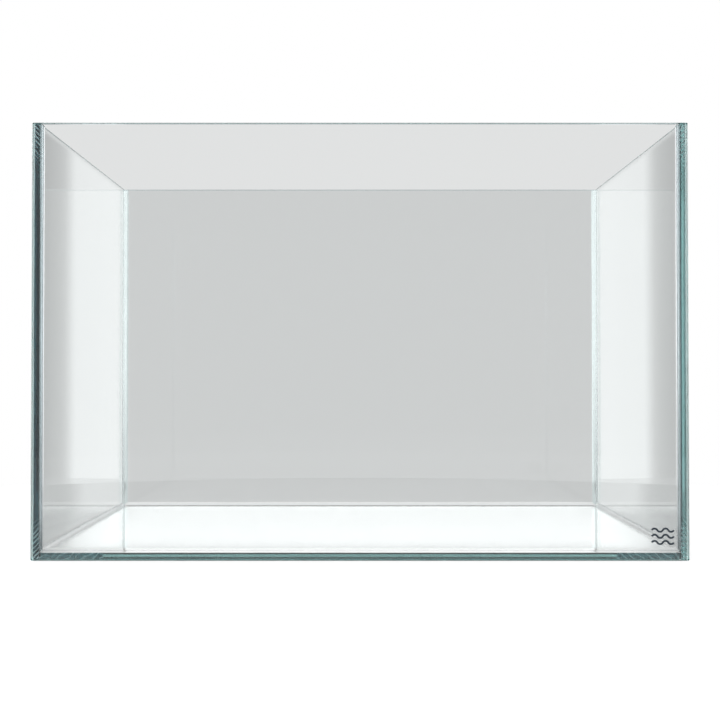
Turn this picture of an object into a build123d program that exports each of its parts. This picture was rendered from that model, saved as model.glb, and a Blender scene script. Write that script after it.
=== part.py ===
from build123d import *

import os

os.makedirs("parts", exist_ok=True)

# An open, rimless glass tank: five panes glued edge to face with clear silicone.
# The origin is the middle of the underside, +Z is up and -Y is the viewing side.

# ---------------------------------------------------------------- driving dimensions, mm
tank_width = 450.0
tank_depth = 270.0
tank_height = 300.0
glass = 5.0  # thickness of every pane
arris = 0.9  # 45 degree ground edge around both faces of the front and back panes
seam = 0.3  # the smaller ground edge of the three panes held between them
bond = 0.8  # thickness of the silicone between a pane's edge and the face it meets

front_bead_leg = 3.0  # how far the upright beads reach along the panes they seal
back_bead_leg = 3.8
floor_bead_leg = 3.4
bead_waist = 0.38  # depth of a tooled bead at its middle, as a share of its leg

mark_width = 15.0  # the maker's mark: stacked waves printed on the front pane
mark_waves = 3
mark_pitch = 4.2  # height from one wave to the next
mark_stroke = 1.3
mark_swing = 1.1  # rise of a crest above the wave's middle line
mark_crests = 4  # half waves in each stroke
mark_film = 0.1  # thickness of the ink
mark_inset = 18.5  # from the right-hand side of the tank to the mark's middle
mark_height = 16.8  # from the underside to the mark's middle

# ---------------------------------------------------------------- derived planes, mm
inner_x = tank_width / 2 - glass  # inner face of the left and right panes
inner_y = tank_depth / 2 - glass  # inner face of the front and back panes
fitted_x = inner_x - bond  # edge of the bottom pane, beside the left and right panes
fitted_y = inner_y - bond  # edge of the panes held between the front and back panes
mid_height = tank_height / 2
pane_middle_x = tank_width / 2 - glass / 2
pane_middle_y = tank_depth / 2 - glass / 2

# ---------------------------------------------------------------- the five panes
# The front and back panes cover the ends of the side panes, and all four walls stand on
# the ground around the bottom pane.
pane_boxes = {
    "front_pane": ((tank_width, glass, tank_height), (0, -pane_middle_y, mid_height), arris),
    "back_pane": ((tank_width, glass, tank_height), (0, pane_middle_y, mid_height), arris),
    "left_pane": ((glass, 2 * fitted_y, tank_height), (-pane_middle_x, 0, mid_height), seam),
    "right_pane": ((glass, 2 * fitted_y, tank_height), (pane_middle_x, 0, mid_height), seam),
    "bottom_pane": ((2 * fitted_x, 2 * fitted_y, glass), (0, 0, glass / 2), seam),
}

for pane_name, (pane_size, pane_centre, ground_edge) in pane_boxes.items():
    with BuildPart() as pane:
        with Locations(pane_centre):
            Box(*pane_size)
        chamfer(pane.edges(), length=ground_edge)
    pane.part.label = pane_name
    export_step(pane.part, f"parts/{pane_name}.step")

# ---------------------------------------------------------------- upright corners
# side is -1 on the left and +1 on the right; end is -1 at the front and +1 at the back.
upright_corners = {
    "front_left": (-1, -1, front_bead_leg),
    "front_right": (1, -1, front_bead_leg),
    "back_left": (-1, 1, back_bead_leg),
    "back_right": (1, 1, back_bead_leg),
}
corner_beads = []

for corner_name, (side, end, leg) in upright_corners.items():
    # The bond fills the joint from the outer arris inwards, and the side pane's inner ground
    # edge with it.
    with BuildPart() as corner_bond:
        with BuildSketch(Plane.XY.offset(arris)):
            with BuildLine():
                Polyline(
                    (side * (inner_x + glass - arris), end * inner_y),
                    (side * inner_x, end * inner_y),
                    (side * inner_x, end * (fitted_y - seam)),
                    (side * (inner_x + seam), end * fitted_y),
                    (side * (inner_x + glass - arris), end * fitted_y),
                    close=True,
                )
            make_face()
        extrude(amount=tank_height - 2 * arris)
    corner_bond.part.label = f"{corner_name}_bond"
    export_step(corner_bond.part, f"parts/{corner_name}_bond.step")

    # The bead is a tooled cove in the inner corner, from the bottom pane to the rim.
    with BuildPart() as corner_bead:
        with BuildSketch(Plane.XY.offset(glass)):
            with BuildLine():
                along_end_pane = (side * (inner_x - leg), end * inner_y)
                along_side_pane = (side * inner_x, end * (inner_y - leg))
                waist = (side * (inner_x - bead_waist * leg), end * (inner_y - bead_waist * leg))
                Polyline(along_end_pane, (side * inner_x, end * inner_y), along_side_pane)
                ThreePointArc(along_side_pane, waist, along_end_pane)
            make_face()
        extrude(amount=tank_height - glass - arris)
    corner_bead.part.label = f"{corner_name}_bead"
    export_step(corner_bead.part, f"parts/{corner_name}_bead.step")
    corner_beads.append(corner_bead.part)

# ---------------------------------------------------------------- joints round the bottom pane
# Each joint runs along the foot of one wall and is mitred into its two neighbours. In the
# joint's own plane x points from the wall into the tank and y points up.
floor_runs = {
    "front": (Vector(0, 1, 0), inner_y, inner_x),
    "back": (Vector(0, -1, 0), inner_y, inner_x),
    "left": (Vector(1, 0, 0), inner_x, inner_y),
    "right": (Vector(-1, 0, 0), inner_x, inner_y),
}

for run_name, (inward, wall_distance, half_run) in floor_runs.items():
    along = inward.cross(Vector(0, 0, 1))
    wall_foot = inward * -wall_distance
    run_plane = Plane(origin=wall_foot, x_dir=inward, z_dir=along)
    mitres = []
    for tip in (-1, 1):
        mitres.append(Plane(origin=wall_foot + along * (tip * half_run), z_dir=inward + along * tip))

    with BuildPart() as floor_bond:
        with BuildSketch(run_plane):
            with BuildLine():
                Polyline(
                    (0, arris),
                    (0, glass),
                    (bond + seam, glass),
                    (bond, glass - seam),
                    (bond, arris),
                    close=True,
                )
            make_face()
        extrude(amount=half_run, both=True)
        for mitre in mitres:
            split(bisect_by=mitre, keep=Keep.BOTTOM)
    floor_bond.part.label = f"{run_name}_floor_bond"
    export_step(floor_bond.part, f"parts/{run_name}_floor_bond.step")

    with BuildPart() as floor_bead:
        with BuildSketch(run_plane):
            with BuildLine():
                Polyline((floor_bead_leg, glass), (0, glass), (0, glass + floor_bead_leg))
                ThreePointArc(
                    (0, glass + floor_bead_leg),
                    (bead_waist * floor_bead_leg, glass + bead_waist * floor_bead_leg),
                    (floor_bead_leg, glass),
                )
            make_face()
        extrude(amount=half_run, both=True)
        for mitre in mitres:
            split(bisect_by=mitre, keep=Keep.BOTTOM)
        add(corner_beads, mode=Mode.SUBTRACT)
    floor_bead.part.label = f"{run_name}_floor_bead"
    export_step(floor_bead.part, f"parts/{run_name}_floor_bead.step")

# ---------------------------------------------------------------- maker's mark
# Three plain waves of dark ink, low on the right of the front pane's outer face.
mark_plane = Plane(
    origin=(tank_width / 2 - mark_inset, -tank_depth / 2, mark_height),
    x_dir=(1, 0, 0),
    z_dir=(0, -1, 0),
)
half_wave = mark_width / mark_crests

with BuildPart() as maker_mark:
    for wave in range(mark_waves):
        wave_height = (wave - (mark_waves - 1) / 2) * mark_pitch
        with BuildSketch(mark_plane):
            with BuildLine():
                for crest in range(mark_crests):
                    start_x = crest * half_wave - mark_width / 2
                    swing = mark_swing if crest % 2 == 0 else -mark_swing
                    ThreePointArc(
                        (start_x, wave_height),
                        (start_x + half_wave / 2, wave_height + swing),
                        (start_x + half_wave, wave_height),
                    )
            trace(line_width=mark_stroke)
        extrude(amount=mark_film)
maker_mark.part.label = "maker_mark"
export_step(maker_mark.part, "parts/maker_mark.step")
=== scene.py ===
import math

import bmesh
import bpy
import numpy as np
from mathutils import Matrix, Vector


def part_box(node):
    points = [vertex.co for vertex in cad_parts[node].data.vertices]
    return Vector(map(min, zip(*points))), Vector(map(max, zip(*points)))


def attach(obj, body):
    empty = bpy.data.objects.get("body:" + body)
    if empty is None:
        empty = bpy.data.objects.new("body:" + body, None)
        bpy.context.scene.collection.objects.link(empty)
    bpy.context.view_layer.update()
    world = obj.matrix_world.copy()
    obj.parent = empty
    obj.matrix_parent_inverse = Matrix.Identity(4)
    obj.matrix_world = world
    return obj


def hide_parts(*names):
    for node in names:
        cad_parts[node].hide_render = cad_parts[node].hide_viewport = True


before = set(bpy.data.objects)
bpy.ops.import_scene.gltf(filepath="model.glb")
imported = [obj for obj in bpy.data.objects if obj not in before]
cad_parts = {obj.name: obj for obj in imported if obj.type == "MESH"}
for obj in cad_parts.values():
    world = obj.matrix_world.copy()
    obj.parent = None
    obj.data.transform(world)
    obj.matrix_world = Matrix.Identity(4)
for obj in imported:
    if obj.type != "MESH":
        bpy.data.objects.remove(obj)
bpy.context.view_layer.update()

# ------------------------------------------------------------------ sizes, in metres, from the frame
MM = 0.001
HAIR = 0.02 * MM  # air left between two touching surfaces, so that no two faces coincide

LEFT, FRONT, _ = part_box("front_pane")[0]
RIGHT, _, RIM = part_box("front_pane")[1]
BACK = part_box("back_pane")[1].y
INNER_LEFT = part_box("left_pane")[1].x
INNER_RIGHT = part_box("right_pane")[0].x
INNER_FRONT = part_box("front_pane")[1].y
INNER_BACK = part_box("back_pane")[0].y
FLOOR_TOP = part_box("bottom_pane")[1].z
PANE = INNER_FRONT - FRONT
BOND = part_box("left_pane")[0].y - INNER_FRONT

ARRIS = 0.9 * MM  # ground edges of the front and back panes
SEAM = 0.3 * MM  # ground edges of the panes held between them
PAST_ARRIS = 1.1 * ARRIS  # from a pane's outline to just clear of its arris

BEAD_POWER = 1.5  # 1 would make a tooled bead flat, 2 a quarter circle
BEAD_FRONT = 3.0 * MM  # reach of the beads at the front of the tank
BEAD_BACK = 3.9 * MM
BEAD_FLOOR = 3.5 * MM  # reach of the floor beads up the walls
BEAD_WOBBLE = 0.14 * MM

LEFT_RECESS = 1.08 * MM  # how far the bonds' free edges stop short of the outside
UPRIGHT_RECESS = 1.15 * MM
FLOOR_RECESS = 0.9 * MM
BOND_WANDER = 0.12 * MM
LEFT_BOND_SHADE = (0.33, 0.41, 0.48)  # painted shade: what the left bonds let through, darker than on the right
DEEP = (0.30, 0.36, 0.38)
FLOOR_BOND_LINES = (  # what the front floor bond lets through, by height
    (0, 0.5), (1.2 * MM, 0.5), (1.35 * MM, 0.2), (2.0 * MM, 0.2),
    (2.2 * MM, 0.95), (4.0 * MM, 0.8), (4.15 * MM, 0.08), (5 * MM, 0.08),
)
STREAK_SPACING = 3.4 * MM
STREAK_LEAN = 1.1
FLOOR_STREAK_SPACING = 6 * MM
FLOOR_STREAK_LEAN = 1.3
FLOOR_END = 176 * MM  # the front floor bond is darker from here outwards, painted shade towards the front corners
FLOOR_END_SHADE = (0.32, 0.37, 0.41)
FROST = 0.95  # share of the light that bare ground ends scatter
ARRIS_FROST = 0.35
FLOOR_SIDE_FROST = 0.4
FROSTED = (0.80, 1.0, 0.99)
RIM_AND_FOOT_SHADE = (0.58, 0.64, 0.65)  # painted shade: what the dry arrises along the top and the foot let through


# ------------------------------------------------------------------ mesh helpers
def add_piece(name, vertices, faces, material, body="root"):
    """Puts a closed surface in the scene as one piece with its faces turned outwards."""
    mesh = bpy.data.meshes.new(name)
    mesh.from_pydata(vertices.tolist(), [], faces)
    mesh.materials.append(material)
    work = bmesh.new()
    work.from_mesh(mesh)
    bmesh.ops.recalc_face_normals(work, faces=work.faces)
    work.to_mesh(mesh)
    work.free()
    piece = bpy.data.objects.new(name, mesh)
    bpy.context.scene.collection.objects.link(piece)
    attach(piece, body)
    return piece


def tube_faces(rows, columns):
    """Quads round a tube of rows x columns points, with a flat cap on its first and last row."""
    row, column = np.meshgrid(np.arange(rows - 1), np.arange(columns), indexing="ij")
    beside = (column + 1) % columns
    quads = np.stack(
        [
            row * columns + column,
            row * columns + beside,
            (row + 1) * columns + beside,
            (row + 1) * columns + column,
        ],
        axis=-1,
    )
    first_cap = list(range(columns))
    last_cap = list(range((rows - 1) * columns, rows * columns))
    return quads.reshape(-1, 4).tolist() + [first_cap, last_cap]


def wobble(distance, seed):
    """A slow wander between about -1 and 1: three sines whose lengths have no common measure."""
    return (
        0.5 * np.sin(distance / 0.031 + 1.7 * seed)
        + 0.3 * np.sin(distance / 0.0127 + 2.9 * seed)
        + 0.2 * np.sin(distance / 0.0071 + 4.1 * seed)
    )


# ------------------------------------------------------------------ panes
def make_pane(node, edge, material):
    """A slab with rounded outline corners and a rounded ground edge.

    Across the thickness, the outline is inset by edge * (1 - sin(angle)) at a depth of
    edge * (1 - cos(angle)) below either face, with angle from 0 to 90 degrees. Each ring is a
    rectangle whose corners are arcs of a radius 0.2 mm more than edge, less the inset. The
    attribute "ground" is one on the rounded edge.
    """
    low, high = (np.array(corner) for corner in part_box(node))
    thin = int(np.argmin(high - low))
    wide, tall = [axis for axis in range(3) if axis != thin]
    middle, half = (low + high) / 2, (high - low) / 2

    angle = np.linspace(0, math.pi / 2, 7)
    inset = edge * (1 - np.sin(angle))
    depth = edge * (1 - np.cos(angle))
    inset = np.concatenate([inset, inset[::-1]])
    across = np.concatenate([-half[thin] + depth, (half[thin] - depth)[::-1]])

    turn = np.linspace(0, math.pi / 2, 6)
    turn = (turn[None, :] + np.arange(4)[:, None] * math.pi / 2).ravel()
    quadrant = np.repeat(np.arange(4), 6)
    sign_wide = np.where((quadrant == 0) | (quadrant == 3), 1.0, -1.0)
    sign_tall = np.where(quadrant < 2, 1.0, -1.0)
    radius = edge + 0.2 * MM
    corner = radius - inset[:, None]
    points = np.zeros((len(inset), len(turn), 3))
    points[:, :, wide] = middle[wide] + sign_wide * (half[wide] - radius) + corner * np.cos(turn)
    points[:, :, tall] = middle[tall] + sign_tall * (half[tall] - radius) + corner * np.sin(turn)
    points[:, :, thin] = middle[thin] + across[:, None]
    piece = add_piece(f"{node}_glass", points.reshape(-1, 3), tube_faces(*points.shape[:2]), material)
    ground = np.sin(2 * np.concatenate([angle, angle[::-1]])) > 0.1
    attribute = piece.data.attributes.new("ground", "FLOAT", "POINT")
    attribute.data.foreach_set("value", np.repeat(ground, len(turn)).astype(np.float32))
    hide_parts(node)
    return piece


# ------------------------------------------------------------------ silicone beads
def side_reach(depth):
    """How far a bead reaches from a side pane, which grows evenly from the front to the back."""
    share = (depth - INNER_FRONT) / (INNER_BACK - INNER_FRONT)
    return BEAD_FRONT + (BEAD_BACK - BEAD_FRONT) * np.clip(share, 0, 1)


def cove(third, turn):
    """How far a bead's surface lies from its corner line, in reaches, by the direction turn.

    With u and v as one less the distance from each plane in reaches, none below zero, the
    surface is where u and v, each to BEAD_POWER, add up to one. third is the distance from
    the plane across the end, and the mitre with the next bead is where the larger of the
    first two distances equals it.
    """
    mitre = third / np.maximum(np.cos(turn), np.sin(turn))
    near, far = np.zeros_like(turn), np.full_like(turn, 1.5)
    for _ in range(40):
        middle = (near + far) / 2
        filled = np.clip(1 - middle * np.cos(turn), 0, 1) ** BEAD_POWER
        filled = filled + np.clip(1 - middle * np.sin(turn), 0, 1) ** BEAD_POWER
        near, far = np.where(filled > 1, middle, near), np.where(filled > 1, far, middle)
    return np.minimum(near, mitre)


def make_bead(node, start, along, length, first_in, second_in, reaches, both_ends, seed, material):
    """One run of tooled silicone in the corner line from start, with the section that cove() gives.

    reaches gives, for the points of the line, the reach from the first and the second plane and
    from the plane across the end of the line.
    """
    ends = np.concatenate([np.linspace(0.03, 2.2, 22) * BEAD_FLOOR, np.linspace(2.4, 4, 4) * BEAD_FLOOR])
    if both_ends:
        middle = np.linspace(ends[-1], length - ends[-1], 90)[1:-1]
        distance = np.concatenate([ends, middle, (length - ends)[::-1]])
        from_end = np.minimum(distance, length - distance)
    else:
        distance = np.concatenate([ends, np.linspace(ends[-1], length, 80)[1:]])
        from_end = distance
    line = start + distance[:, None] * along
    first, second, across = reaches(line)
    turn = np.linspace(0, math.pi / 2, 13)[None, :]
    radius = cove((from_end / across)[:, None], turn)
    swell = 1 + BEAD_WOBBLE / BEAD_FLOOR * wobble(distance, seed) * np.clip(from_end / across - 1, 0, 1)
    first_step = HAIR + (first * swell)[:, None] * radius * np.cos(turn)
    second_step = HAIR + (second * swell)[:, None] * radius * np.sin(turn)
    surface = line[:, None] + first_step[..., None] * first_in + second_step[..., None] * second_in
    corner = line[:, None] + HAIR * (first_in + second_in)
    points = np.concatenate([corner, surface], axis=1)
    piece = add_piece(f"{node}_silicone", points.reshape(-1, 3), tube_faces(*points.shape[:2]), material)
    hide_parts(node)
    return piece


# ------------------------------------------------------------------ materials
def new_material(name):
    material = bpy.data.materials.new(name)
    material.use_nodes = True
    tree = material.node_tree
    return material, tree, tree.nodes["Principled BSDF"]


def maths(tree, operation, first, second=None, third=None):
    """One Math node; each input is a socket or a number."""
    node = tree.nodes.new("ShaderNodeMath")
    node.operation = operation
    for slot, value in enumerate((first, second, third)):
        if isinstance(value, (int, float)):
            node.inputs[slot].default_value = value
        elif value is not None:
            tree.links.new(value, node.inputs[slot])
    return node.outputs[0]


def eased(tree, value, low, high, at_low, at_high):
    """at_low below low, at_high above high, and a smooth step between."""
    node = tree.nodes.new("ShaderNodeMapRange")
    node.interpolation_type = "SMOOTHSTEP"
    tree.links.new(value, node.inputs["Value"])
    for key, number in zip(("From Min", "From Max", "To Min", "To Max"), (low, high, at_low, at_high)):
        if isinstance(number, (int, float)):
            node.inputs[key].default_value = number
        else:
            tree.links.new(number, node.inputs[key])
    return node.outputs["Result"]


def ramp(tree, value, span, levels):
    """A level that follows (value, level) pairs for values from -span or 0 up to span."""
    node = tree.nodes.new("ShaderNodeValToRGB")
    lowest = -span if levels[0][0] < 0 else 0
    share = maths(tree, "DIVIDE", maths(tree, "SUBTRACT", value, lowest), span - lowest)
    tree.links.new(share, node.inputs["Fac"])
    stops = node.color_ramp.elements
    while len(stops) < len(levels):
        stops.new(0.5)
    for stop, (place, level) in zip(stops, levels):
        stop.position = (place - lowest) / (span - lowest)
        stop.color = (level / 2, level / 2, level / 2, 1)
    return maths(tree, "MULTIPLY", node.outputs["Color"], 2.0)


def noise(tree, size, detail=2.0):
    """Noise in the object's own coordinates, with features of about this size in metres."""
    place = tree.nodes.new("ShaderNodeTexCoord")
    texture = tree.nodes.new("ShaderNodeTexNoise")
    texture.inputs["Scale"].default_value = 1 / size
    texture.inputs["Detail"].default_value = detail
    tree.links.new(place.outputs["Object"], texture.inputs["Vector"])
    return texture.outputs["Fac"]


def blend(tree, factor, first, second):
    """A colour mix; each colour is a socket or three numbers."""
    node = tree.nodes.new("ShaderNodeMix")
    node.data_type = "RGBA"
    tree.links.new(factor, node.inputs["Factor"])
    for key, colour in (("A", first), ("B", second)):
        if isinstance(colour, tuple):
            node.inputs[key].default_value = (*colour, 1)
        else:
            tree.links.new(colour, node.inputs[key])
    return node.outputs["Result"]


def glass_material(name, tint):
    """Clear glass that turns blue-green over a long path, rough where it is ground and dry.

    That is on the arris outside the silicone, and on the part of the side and bottom panes'
    ends which the bonds leave bare. The side panes' ends are also frosted there, and the
    arrises along the top and the foot are tinted darker with painted shade.
    """
    material, tree, shader = new_material(name)
    shader.inputs["IOR"].default_value = 1.52

    ground = tree.nodes.new("ShaderNodeAttribute")
    ground.attribute_name = "ground"
    place = tree.nodes.new("ShaderNodeTexCoord")
    split = tree.nodes.new("ShaderNodeSeparateXYZ")
    tree.links.new(place.outputs["Object"], split.inputs[0])
    x, y = (maths(tree, "ABSOLUTE", split.outputs[axis]) for axis in "XY")
    z = split.outputs["Z"]
    on_end = maths(tree, "COMPARE", y, INNER_BACK - BOND, HAIR)
    bare_edge = RIGHT - UPRIGHT_RECESS
    bare_side = eased(tree, x, bare_edge - 0.1 * MM, bare_edge + 0.1 * MM, 0.0, 1.0)
    frosted = maths(tree, "MULTIPLY", on_end, bare_side)
    low = maths(tree, "LESS_THAN", z, FLOOR_RECESS)
    bare_floor = maths(tree, "MULTIPLY", on_end, low)
    bare_floor = maths(tree, "MULTIPLY", bare_floor, maths(tree, "LESS_THAN", x, INNER_RIGHT))
    inside = maths(tree, "LESS_THAN", x, INNER_RIGHT + PAST_ARRIS)
    inside = maths(tree, "MULTIPLY", inside, maths(tree, "LESS_THAN", y, INNER_BACK))
    covered = maths(tree, "MULTIPLY", inside, maths(tree, "LESS_THAN", z, RIM - PAST_ARRIS))
    dry = maths(tree, "MULTIPLY", ground.outputs["Fac"], maths(tree, "SUBTRACT", 1.0, covered))
    rough = maths(tree, "MAXIMUM", maths(tree, "MAXIMUM", dry, frosted), bare_floor)
    grain = eased(tree, noise(tree, 6 * MM), 0.3, 0.7, 0.12, 0.2)
    tree.links.new(maths(tree, "MULTIPLY", rough, grain), shader.inputs["Roughness"])
    floor_side = maths(tree, "COMPARE", x, INNER_RIGHT - BOND, HAIR)
    floor_side = maths(tree, "MULTIPLY", floor_side, maths(tree, "LESS_THAN", z, FLOOR_TOP))
    upper = maths(tree, "MULTIPLY", dry, maths(tree, "GREATER_THAN", z, 2 * ARRIS))
    upper = maths(tree, "MULTIPLY", upper, maths(tree, "LESS_THAN", z, RIM - PAST_ARRIS))
    frost = maths(tree, "MULTIPLY", frosted, FROST)
    frost = maths(tree, "MAXIMUM", frost, maths(tree, "MULTIPLY", upper, ARRIS_FROST))
    frost = maths(tree, "MAXIMUM", frost, maths(tree, "MULTIPLY", floor_side, FLOOR_SIDE_FROST))
    tree.links.new(maths(tree, "SUBTRACT", 1.0, frost), shader.inputs["Transmission Weight"])
    # painted shade: the dry arrises along the top and the foot are tinted darker
    from_middle = maths(tree, "ABSOLUTE", maths(tree, "SUBTRACT", z, RIM / 2))
    over = maths(tree, "GREATER_THAN", from_middle, RIM / 2 - PAST_ARRIS)
    colour = blend(tree, maths(tree, "MULTIPLY", dry, over), tint, RIM_AND_FOOT_SHADE)
    colour = blend(tree, frosted, colour, FROSTED)
    tree.links.new(colour, shader.inputs["Base Color"])

    volume = tree.nodes.new("ShaderNodeVolumeAbsorption")
    volume.inputs["Color"].default_value = (0.0, 0.47, 0.45, 1)
    volume.inputs["Density"].default_value = 5.6
    tree.links.new(volume.outputs["Volume"], tree.nodes["Material Output"].inputs["Volume"])
    return material


def inner_line(tree, x):
    """One within about a millimetre of the inner face of a side pane, and none further off."""
    from_face = maths(tree, "ABSOLUTE", maths(tree, "SUBTRACT", maths(tree, "ABSOLUTE", x), INNER_RIGHT))
    return eased(tree, from_face, 0.95 * MM, 1.15 * MM, 1.0, 0.0)


def silicone_material(name, ior, tint, lined=False):
    """Clear silicone with a slightly uneven surface, with or without the dark inner line."""
    material, tree, shader = new_material(name)
    shader.inputs["IOR"].default_value = ior
    shader.inputs["Transmission Weight"].default_value = 1.0
    if lined:
        place = tree.nodes.new("ShaderNodeTexCoord")
        split = tree.nodes.new("ShaderNodeSeparateXYZ")
        tree.links.new(place.outputs["Object"], split.inputs[0])
        colour = blend(tree, inner_line(tree, split.outputs["X"]), tint, DEEP)
        tree.links.new(colour, shader.inputs["Base Color"])
    else:
        shader.inputs["Base Color"].default_value = (*tint, 1)
    tree.links.new(eased(tree, noise(tree, 6 * MM), 0.3, 0.7, 0.08, 0.14), shader.inputs["Roughness"])
    return material


def bond_material():
    """The thin silicone between panes: darker on the left with painted shade, and streaked with milky voids
    near its ends.

    The streaks are where the sine of the height plus STREAK_LEAN times the distance aside, over
    the streak spacing and shaken by noise, is high. The front floor bond has darker lines along
    its run, and outwards of FLOOR_END it is darker with painted shade, with sloping streaks of the same
    kind.
    """
    material, tree, shader = new_material("bond_silicone")
    shader.inputs["IOR"].default_value = 1.41
    place = tree.nodes.new("ShaderNodeTexCoord")
    split = tree.nodes.new("ShaderNodeSeparateXYZ")
    tree.links.new(place.outputs["Object"], split.inputs[0])
    x, y, z = split.outputs
    aside = maths(tree, "SUBTRACT", maths(tree, "ABSOLUTE", x), RIGHT)
    upright = maths(tree, "GREATER_THAN", aside, INNER_RIGHT - RIGHT)
    left = maths(tree, "MULTIPLY", upright, maths(tree, "LESS_THAN", x, 0.0))
    colour = blend(tree, ramp(tree, z, FLOOR_TOP, FLOOR_BOND_LINES), (0.0, 0.0, 0.0), (1.0, 1.0, 1.0))
    clear = maths(tree, "MAXIMUM", upright, maths(tree, "GREATER_THAN", y, INNER_FRONT + BOND))
    out = maths(tree, "ABSOLUTE", x)
    floor_end = eased(tree, out, FLOOR_END - 0.3 * MM, FLOOR_END + 0.3 * MM, 0.0, 1.0)
    # painted shade: the front floor bond darkens towards the front corners
    colour = blend(tree, floor_end, colour, FLOOR_END_SHADE)
    floor_end = maths(tree, "MULTIPLY", floor_end, maths(tree, "SUBTRACT", 1.0, clear))
    colour = blend(tree, clear, colour, (0.98, 0.99, 1.0))
    # painted shade: the left bonds are tinted darker than the right ones
    colour = blend(tree, left, colour, LEFT_BOND_SHADE)
    colour = blend(tree, inner_line(tree, x), colour, DEEP)

    end = maths(tree, "MINIMUM", z, maths(tree, "SUBTRACT", RIM, z))
    near_end = maths(tree, "MULTIPLY", eased(tree, end, 14 * MM, 32 * MM, 1.0, 0.0), upright)
    slant = maths(tree, "MULTIPLY_ADD", aside, STREAK_LEAN, end)
    shaken = maths(tree, "MULTIPLY_ADD", noise(tree, 8 * MM, 0.0), 2 * MM, slant)
    wave = maths(tree, "SINE", maths(tree, "MULTIPLY", shaken, 2 * math.pi / STREAK_SPACING))
    patch = maths(tree, "SUBTRACT", noise(tree, 4 * MM), 0.5)
    streak = eased(tree, maths(tree, "MULTIPLY_ADD", patch, 3.0, wave), 0.1, 0.6, 0.0, 1.0)
    streak = maths(tree, "MULTIPLY", streak, near_end)
    sloping = maths(tree, "MULTIPLY_ADD", z, FLOOR_STREAK_LEAN, out)
    sloping = maths(tree, "MULTIPLY_ADD", noise(tree, 8 * MM, 0.0), 6 * MM, sloping)
    stripe = maths(tree, "SINE", maths(tree, "MULTIPLY", sloping, 2 * math.pi / FLOOR_STREAK_SPACING))
    stripe = eased(tree, stripe, 0.3, 1.0, 0.0, 0.45)
    streak = maths(tree, "MAXIMUM", streak, maths(tree, "MULTIPLY", stripe, floor_end))
    tree.links.new(blend(tree, streak, colour, (0.75, 0.95, 0.97)), shader.inputs["Base Color"])
    tree.links.new(maths(tree, "MULTIPLY_ADD", streak, -0.5, 1.0), shader.inputs["Transmission Weight"])
    tree.links.new(maths(tree, "MULTIPLY_ADD", streak, 0.2, 0.01), shader.inputs["Roughness"])
    return material


def ink_material():
    """Dark matt print, a little thinner in places."""
    material, tree, shader = new_material("mark_ink")
    colour = tree.nodes.new("ShaderNodeMix")
    colour.data_type = "RGBA"
    tree.links.new(noise(tree, 1.5 * MM), colour.inputs["Factor"])
    colour.inputs["A"].default_value = (0.012, 0.022, 0.035, 1)
    colour.inputs["B"].default_value = (0.035, 0.055, 0.075, 1)
    tree.links.new(colour.outputs["Result"], shader.inputs["Base Color"])
    tree.links.new(eased(tree, noise(tree, 1 * MM), 0.3, 0.7, 0.4, 0.6), shader.inputs["Roughness"])
    return material


glass = glass_material("low_iron_glass", (1.0, 1.0, 1.0))
# painted shade: back_glass is a greyer copy of the same glass, so the view through the back pane is darker
back_glass = glass_material("back_glass", (0.845, 0.845, 0.845))
silicone = silicone_material("bead_silicone", 1.41, (1, 1, 1))
# painted shade: pale_silicone and grey_silicone are darker copies of the bead silicone, teal for the back
# uprights and grey for the front ones
pale_silicone = silicone_material("pale_bead_silicone", 1.41, (0.82, 0.89, 0.89))
grey_silicone = silicone_material("grey_bead_silicone", 1.41, (0.84, 0.85, 0.86), lined=True)
faint_silicone = silicone_material("faint_bead_silicone", 1.15, (1, 1, 1))
bond_silicone = bond_material()
ink = ink_material()
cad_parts["maker_mark"].data.materials.clear()
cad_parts["maker_mark"].data.materials.append(ink)

make_pane("front_pane", ARRIS, glass)
make_pane("back_pane", ARRIS, back_glass)
for node in ("left_pane", "right_pane", "bottom_pane"):
    make_pane(node, SEAM, glass)

X, Y, Z = np.eye(3)


def upright_reaches(line):
    reach = side_reach(line[:, 1])
    depth = np.where(line[:, 1] < 0, BEAD_FRONT, BEAD_BACK)
    return reach, depth, np.full(len(line), BEAD_FLOOR)


for seed, (corner, x_in, y_in) in enumerate(
    (("front_left", X, Y), ("front_right", -X, Y), ("back_left", X, -Y), ("back_right", -X, -Y))
):
    side_face = INNER_LEFT if x_in[0] > 0 else INNER_RIGHT
    end_face = INNER_FRONT if y_in[1] > 0 else INNER_BACK
    start = np.array([side_face, end_face, FLOOR_TOP + HAIR])
    make_bead(
        f"{corner}_bead", start, Z, RIM - ARRIS - FLOOR_TOP, x_in, y_in, upright_reaches, False, seed,
        grey_silicone if y_in[1] > 0 else pale_silicone,
    )


def floor_reaches_x(line):
    depth = np.where(line[:, 1] < 0, BEAD_FRONT, BEAD_BACK)
    return depth, np.full(len(line), BEAD_FLOOR), side_reach(line[:, 1])


def floor_reaches_y(line):
    across = np.where(line[:, 1] < 0, BEAD_FRONT, BEAD_BACK)
    return side_reach(line[:, 1]), np.full(len(line), BEAD_FLOOR), across


width = INNER_RIGHT - INNER_LEFT
depth = INNER_BACK - INNER_FRONT
for seed, (run, start, along, length, wall_in, reaches) in enumerate(
    (
        ("front", (INNER_LEFT, INNER_FRONT), X, width, Y, floor_reaches_x),
        ("back", (INNER_LEFT, INNER_BACK), X, width, -Y, floor_reaches_x),
        ("left", (INNER_LEFT, INNER_FRONT), Y, depth, X, floor_reaches_y),
        ("right", (INNER_RIGHT, INNER_FRONT), Y, depth, -X, floor_reaches_y),
    )
):
    make_bead(
        f"{run}_floor_bead", np.array([*start, FLOOR_TOP]), along, length, wall_in, Z, reaches, True,
        seed + 4, faint_silicone if run in ("left", "right") else silicone,
    )


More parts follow.
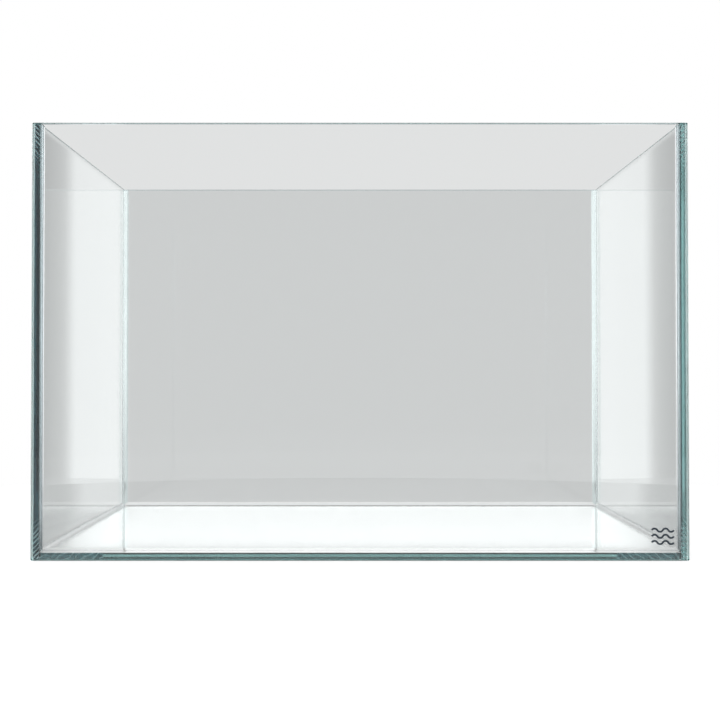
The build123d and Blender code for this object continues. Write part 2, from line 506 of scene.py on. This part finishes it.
def make_bond(node, start, along, length, outward, through, reach, seed):
    """A thin strip of silicone filling the gap between two panes, from its inner edge outwards.

    At each point along the run its width is the reach and a slow wander, and its free edge is
    hollow by 0.3 of the gap times the sine of half a turn across the gap.
    """
    distance = np.linspace(0, length, 160)
    gap = BOND - 2 * HAIR
    share = np.linspace(0, 1, 7)[None, :]
    width = (reach + BOND_WANDER * wobble(distance, seed))[:, None] - 0.3 * gap * np.sin(math.pi * share)
    outs = np.concatenate([width, np.zeros((len(distance), 2))], axis=1)
    thrus = np.concatenate([share * gap, [[gap, 0]]], axis=1).repeat(len(distance), axis=0)
    points = start + distance[:, None, None] * along + outs[..., None] * outward
    points = points + thrus[..., None] * through
    faces = tube_faces(*points.shape[:2])
    piece = add_piece(f"{node}_silicone", points.reshape(-1, 3), faces, bond_silicone)
    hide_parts(node)
    return piece


seed = 20
for side, outward, inner in (("left", -X, INNER_LEFT), ("right", X, INNER_RIGHT)):
    for end, through, face in (("front", Y, INNER_FRONT), ("back", -Y, INNER_BACK)):
        start = np.array([inner, face, ARRIS]) + HAIR * (outward + through)
        make_bond(
            f"{end}_{side}_bond", start, Z, RIM - 2 * ARRIS, outward, through,
            PANE - (LEFT_RECESS if side == "left" else UPRIGHT_RECESS), seed,
        )
        seed += 1
for side, through, face in (("left", X, INNER_LEFT), ("right", -X, INNER_RIGHT)):
    start = np.array([face, INNER_FRONT + BOND, FLOOR_TOP - HAIR]) + HAIR * through
    make_bond(f"{side}_floor_bond", start, Y, depth - 2 * BOND, -Z, through, FLOOR_TOP - FLOOR_RECESS, seed)
    seed += 1
for end, through, face in (("front", Y, INNER_FRONT), ("back", -Y, INNER_BACK)):
    start = np.array([INNER_LEFT + HAIR, face, FLOOR_TOP - HAIR]) + HAIR * through
    make_bond(
        f"{end}_floor_bond", start, X, width - 2 * HAIR, -Z, through, FLOOR_TOP - FLOOR_RECESS, seed
    )
    seed += 1


# ------------------------------------------------------------------ stage
def stage_sheet(name, outline, material):
    mesh = bpy.data.meshes.new(name)
    mesh.from_pydata(outline, [], [range(len(outline))])
    mesh.materials.append(material)
    piece = bpy.data.objects.new(name, mesh)
    bpy.context.scene.collection.objects.link(piece)
    return piece


# Levels of light. The camera sees the surround and the table as white; these are what light
# and glass get, and what the camera sees through or reflected in glass.
CAMERA_AWAY = 0.7245 - FRONT  # from the tank's middle to the camera, along the ground
BACKDROP = 0.80
OVERHEAD = 0.3
FLANKS = 2.0
SIDES = 1.35
BEHIND_CAMERA = 0.45
TABLE_NEAR = 1.0
TABLE_AHEAD = 0.55
LIGHT_TABLE = 1.85
SHADE_LINE_SLOPE = 0.2216  # the light table's lines of painted shade, aside over distance from the camera
BESIDE = (  # the table beside the tank, by distance from its middle line
    (0, 0.725), (0.222, 0.725), (0.225, 0.55), (0.25, 0.42), (0.275, 0.3), (0.33, 0.5), (0.42, 1.0),
)
BEHIND = (  # the table behind the tank, by distance aside over distance from the camera
    (0, 0.725), (0.217, 0.725), (0.223, 0.95), (0.262, 0.92),
    (0.276, 0.62), (0.285, 0.55), (0.31, 0.52), (0.42, 1.0),
)
BACK_RIM_SLOPE = 0.1743  # rise of the line above which the screens are dimmer
SCREEN_SLOPE = 0.773  # rise of the line above which the backdrop is plain, by distance aside
SCREENS = (  # the surround behind the tank, by compass angle in degrees
    (-24, 1.35), (-21, 1.1), (-19, 0.2), (-16.9, 0.2), (-16.6, 0.55), (-16.1, 0.63), (-15.8, 0.67),
    (-15.55, 0.74), (-15.3, 0.88), (-15.05, 1.03), (-12.8, 1.08), (-12.6, 1.1), (-12.35, 0.80),
    (12.35, 0.80), (12.6, 1.1), (12.8, 1.08), (15.05, 1.03), (15.3, 0.88), (15.55, 0.74),
    (15.8, 0.67), (16.1, 0.63), (16.6, 0.60), (16.9, 1.4), (20, 1.4), (24, 1.35),
)
SCREEN_SPAN = 24


def level_around(tree, aside, y):
    """What glass shows of the table around the tank, by place.

    It is bright, softly shaded beside the tank, and shaded behind and before it in two wedges
    that widen away from it.
    """
    beside = ramp(tree, aside, 0.5, BESIDE)
    behind = ramp(tree, maths(tree, "DIVIDE", aside, maths(tree, "ADD", y, CAMERA_AWAY)), 0.5, BEHIND)
    near = eased(tree, y, BACK + 0.03, BACK + 0.06, TABLE_NEAR, behind)
    beside = eased(tree, y, BACK - 0.05, BACK + 0.09, beside, behind)
    level = eased(tree, aside, 0.225, 0.23, near, beside)
    past_wedge = maths(tree, "MULTIPLY_ADD", maths(tree, "SUBTRACT", y, FRONT), 0.36, aside)
    before = eased(tree, y, FRONT - 0.35, FRONT - 0.05, TABLE_AHEAD, BEHIND_CAMERA)
    before = eased(tree, past_wedge, 0.2, 0.4, before, TABLE_NEAR)
    return eased(tree, y, FRONT - 0.02, FRONT, before, level)


def level_below(tree, aside, y):
    """What glass shows of the light table under the tank, by place.

    It is dimmer at the front and along the side walls, and has a faint line of painted shade on
    each side, in line with the camera's foot and a back corner, outside which it is dimmer at the front.
    """
    level = eased(tree, y, -0.115, -0.060, 0.68 * LIGHT_TABLE, LIGHT_TABLE)
    by_wall = eased(tree, y, -0.09, 0.0, 0.6, 0.85)
    level = maths(tree, "MULTIPLY", level, eased(tree, aside, 0.185, 0.222, 1.0, by_wall))
    # painted shade: a thin dark line on each side of the light table
    slope = maths(tree, "DIVIDE", aside, maths(tree, "ADD", y, CAMERA_AWAY))
    from_shade_line = maths(tree, "SUBTRACT", slope, SHADE_LINE_SLOPE)
    outer = eased(tree, y, -0.02, 0.10, 0.82, 1.0)
    level = maths(tree, "MULTIPLY", level, eased(tree, from_shade_line, -0.0003, 0.0003, 1.0, outer))
    on_shade_line = eased(tree, maths(tree, "ABSOLUTE", from_shade_line), 0.0007, 0.0015, 0.38, 1.0)
    return maths(tree, "MULTIPLY", level, on_shade_line)


def table_material(name, level_by_place):
    """A pale table top that glows evenly to the camera, with paint that takes the studio light.

    Through glass it shows the level that level_by_place gives.
    """
    material, tree, shader = new_material(name)
    place = tree.nodes.new("ShaderNodeTexCoord")
    split = tree.nodes.new("ShaderNodeSeparateXYZ")
    tree.links.new(place.outputs["Object"], split.inputs[0])
    passed = level_by_place(tree, maths(tree, "ABSOLUTE", split.outputs["X"]), split.outputs["Y"])
    path = tree.nodes.new("ShaderNodeLightPath").outputs["Is Camera Ray"]
    glow = eased(tree, path, 0.0, 1.0, passed, 0.8)
    shade = eased(tree, path, 0.0, 1.0, 0.0, 0.4)
    colour = tree.nodes.new("ShaderNodeCombineColor")
    for channel in ("Red", "Green", "Blue"):
        tree.links.new(shade, colour.inputs[channel])
    tree.links.new(colour.outputs["Color"], shader.inputs["Base Color"])
    shader.inputs["Roughness"].default_value = 1.0
    shader.inputs["Specular IOR Level"].default_value = 0.0
    shader.inputs["Emission Color"].default_value = (1, 1, 1, 1)
    tree.links.new(glow, shader.inputs["Emission Strength"])
    return material


TABLE_RADIUS = 0.82
TABLE_BACK = 0.454
DROP = 0.2 * MM
turn = np.linspace(0, 2 * math.pi, 181)[:-1]
disc = np.stack([np.cos(turn), np.sin(turn) - 1, np.zeros_like(turn)], axis=-1) * TABLE_RADIUS
disc = disc + np.array([0, TABLE_BACK, -2 * DROP])
stage_sheet("table", disc.tolist(), table_material("table_top", level_around))
light_table = (
    (INNER_LEFT, INNER_FRONT, -DROP),
    (INNER_RIGHT, INNER_FRONT, -DROP),
    (INNER_RIGHT, INNER_BACK, -DROP),
    (INNER_LEFT, INNER_BACK, -DROP),
)
stage_sheet("light_table", light_table, table_material("light_table_top", level_below))


def studio_world():
    """A white surround to the camera, and a plain soft studio to light and to what glass shows.

    Within SCREEN_SPAN of straight behind the tank the level follows SCREENS by compass angle in
    degrees, below a line that rises with the distance aside; above it is the plain backdrop.
    Beyond, it is even at the sides, fades to the table's level below the horizon, and is
    dimmer behind the camera and overhead.
    """
    world = bpy.data.worlds.new("studio")
    bpy.context.scene.world = world
    world.use_nodes = True
    tree = world.node_tree
    direction = tree.nodes.new("ShaderNodeTexCoord").outputs["Generated"]
    split = tree.nodes.new("ShaderNodeSeparateXYZ")
    tree.links.new(direction, split.inputs[0])
    x, y, z = split.outputs
    degrees = maths(tree, "MULTIPLY", maths(tree, "ARCTAN2", x, y), 180 / math.pi)
    screens = ramp(tree, degrees, SCREEN_SPAN, SCREENS)
    over_back = maths(tree, "SUBTRACT", z, maths(tree, "MULTIPLY", y, BACK_RIM_SLOPE))
    screens = maths(tree, "MULTIPLY", screens, eased(tree, over_back, -0.002, 0.002, 1.0, 0.87))
    line = maths(tree, "MULTIPLY", maths(tree, "ABSOLUTE", x), SCREEN_SLOPE)
    above_line = maths(tree, "SUBTRACT", z, line)
    level = eased(tree, above_line, -0.004, 0.004, screens, BACKDROP)
    aside = maths(tree, "ABSOLUTE", degrees)
    level = eased(tree, aside, SCREEN_SPAN - 1, SCREEN_SPAN + 6, level, SIDES)
    level = eased(tree, aside, 60, 80, level, FLANKS)
    low = eased(tree, z, -0.10, 0.03, TABLE_NEAR, level)
    level = eased(tree, aside, SCREEN_SPAN - 1, SCREEN_SPAN + 6, level, low)
    level = eased(tree, aside, 140, 160, level, BEHIND_CAMERA)
    level = eased(tree, z, 0.5, 0.75, level, OVERHEAD)
    path = tree.nodes.new("ShaderNodeLightPath").outputs["Is Camera Ray"]
    level = eased(tree, path, 0.0, 1.0, level, 1.0)
    background = tree.nodes["Background"]
    background.inputs["Color"].default_value = (1, 1, 1, 1)
    tree.links.new(level, background.inputs["Strength"])


studio_world()

# ------------------------------------------------------------------ camera
camera_data = bpy.data.cameras.new("camera")
camera_data.sensor_width = 36
camera_data.lens = 53
camera = bpy.data.objects.new("camera", camera_data)
camera.location = (0.0, -CAMERA_AWAY, 0.1272)
camera.rotation_euler = (math.radians(90 + 0.78), 0, 0)
bpy.context.scene.collection.objects.link(camera)
bpy.context.scene.camera = camera

scene = bpy.context.scene
scene.view_settings.view_transform = "Standard"
scene.cycles.max_bounces = 96
scene.cycles.glossy_bounces = 96
scene.cycles.transmission_bounces = 96
scene.cycles.transparent_max_bounces = 16
